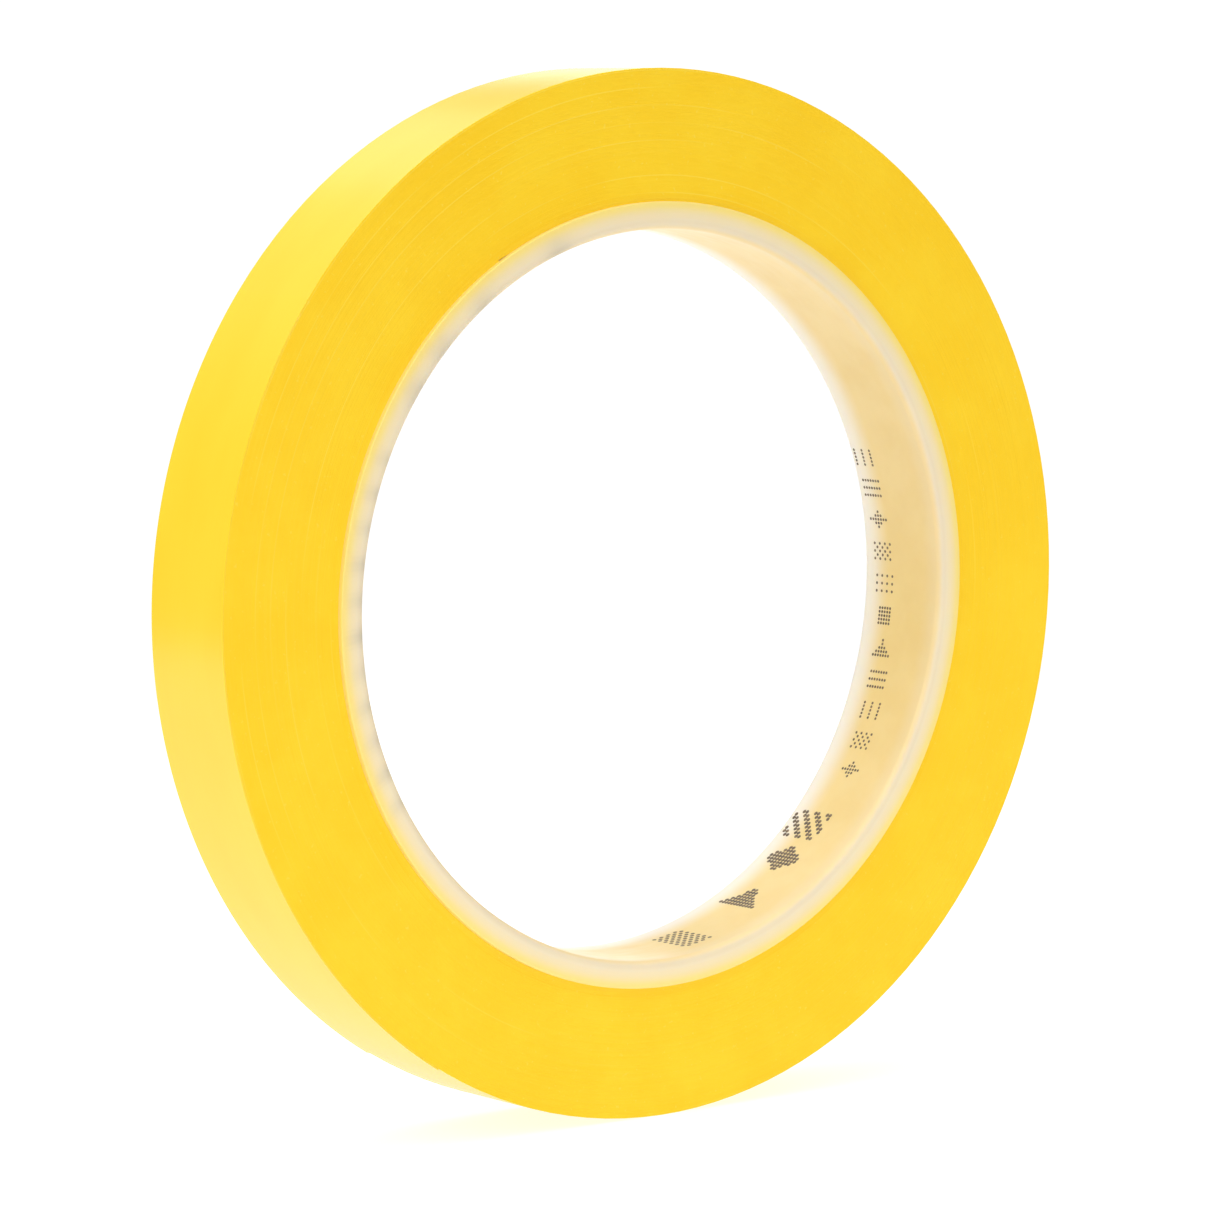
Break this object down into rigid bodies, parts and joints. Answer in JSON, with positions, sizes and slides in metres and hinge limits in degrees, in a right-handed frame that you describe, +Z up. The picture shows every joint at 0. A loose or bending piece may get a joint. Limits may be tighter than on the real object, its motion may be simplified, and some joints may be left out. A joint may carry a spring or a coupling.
{
  "type": "tape roll",
  "caption": "Roll of thin glossy adhesive tape wound on a plastic ring core, standing on its rim, with a free end that peels off.",
  "frame": {"origin": "centre of the core's bore, half-way through its width", "axes": "+Y along the bore from the front side to the back side, +Z up as the roll stands on its rim, +X to the right seen from the front; seen from the front the strip winds outwards from +X towards +Z"},
  "size_m": [0.1094, 0.0132, 0.1093],
  "materials": {
    "core_plastic": "translucent natural plastic, satin",
    "tape_film": "glossy coloured film; matt and finely layered on the cut sides",
    "adhesive": "clear tacky coat with a soft sheen over the film's colour"
  },
  "bodies": {
    "roll": {"core": "core_plastic", "tape_winding": "tape_film"},
    "tail_1": {"tail_film_1": "tape_film", "tail_adhesive_1": "adhesive"},
    "tail_2": {"tail_film_2": "tape_film", "tail_adhesive_2": "adhesive"},
    "tail_3": {"tail_film_3": "tape_film", "tail_adhesive_3": "adhesive"},
    "tail_4": {"tail_film_4": "tape_film", "tail_adhesive_4": "adhesive"},
    "tail_5": {"tail_film_5": "tape_film", "tail_adhesive_5": "adhesive"},
    "tail_6": {"tail_film_6": "tape_film", "tail_adhesive_6": "adhesive"},
    "tail_7": {"tail_film_7": "tape_film", "tail_adhesive_7": "adhesive"},
    "tail_8": {"tail_film_8": "tape_film", "tail_adhesive_8": "adhesive"},
    "tail_9": {"tail_film_9": "tape_film", "tail_adhesive_9": "adhesive"}
  },
  "joints": [
    {"name": "tail_peel", "type": "hinge", "parent": "roll", "child": "tail_1", "pos_m": [-0.0443, 0.00055, 0.03213], "axis": [0, 1, 0], "range_deg": [0, 90]},
    {"name": "tail_bend_2", "type": "hinge", "parent": "tail_1", "child": "tail_2", "pos_m": [-0.04941, 0.00055, 0.02355], "axis": [0, 1, 0], "range_deg": [0, 16]},
    {"name": "tail_bend_3", "type": "hinge", "parent": "tail_2", "child": "tail_3", "pos_m": [-0.05288, 0.00055, 0.01418], "axis": [0, 1, 0], "range_deg": [0, 16]},
    {"name": "tail_bend_4", "type": "hinge", "parent": "tail_3", "child": "tail_4", "pos_m": [-0.05459, 0.00055, 0.00434], "axis": [0, 1, 0], "range_deg": [0, 16]},
    {"name": "tail_bend_5", "type": "hinge", "parent": "tail_4", "child": "tail_5", "pos_m": [-0.05448, 0.00055, -0.00564], "axis": [0, 1, 0], "range_deg": [0, 16]},
    {"name": "tail_bend_6", "type": "hinge", "parent": "tail_5", "child": "tail_6", "pos_m": [-0.05256, 0.00055, -0.01544], "axis": [0, 1, 0], "range_deg": [0, 16]},
    {"name": "tail_bend_7", "type": "hinge", "parent": "tail_6", "child": "tail_7", "pos_m": [-0.04889, 0.00055, -0.02473], "axis": [0, 1, 0], "range_deg": [0, 16]},
    {"name": "tail_bend_8", "type": "hinge", "parent": "tail_7", "child": "tail_8", "pos_m": [-0.04359, 0.00055, -0.0332], "axis": [0, 1, 0], "range_deg": [0, 16]},
    {"name": "tail_bend_9", "type": "hinge", "parent": "tail_8", "child": "tail_9", "pos_m": [-0.03685, 0.00055, -0.04056], "axis": [0, 1, 0], "range_deg": [0, 16]}
  ],
  "couplings": [
    {"joint": "tail_bend_3", "follows": "tail_bend_2", "ratio": 1},
    {"joint": "tail_bend_4", "follows": "tail_bend_2", "ratio": 1},
    {"joint": "tail_bend_5", "follows": "tail_bend_2", "ratio": 1},
    {"joint": "tail_bend_6", "follows": "tail_bend_2", "ratio": 1},
    {"joint": "tail_bend_7", "follows": "tail_bend_2", "ratio": 1},
    {"joint": "tail_bend_8", "follows": "tail_bend_2", "ratio": 1},
    {"joint": "tail_bend_9", "follows": "tail_bend_2", "ratio": 1}
  ]
}
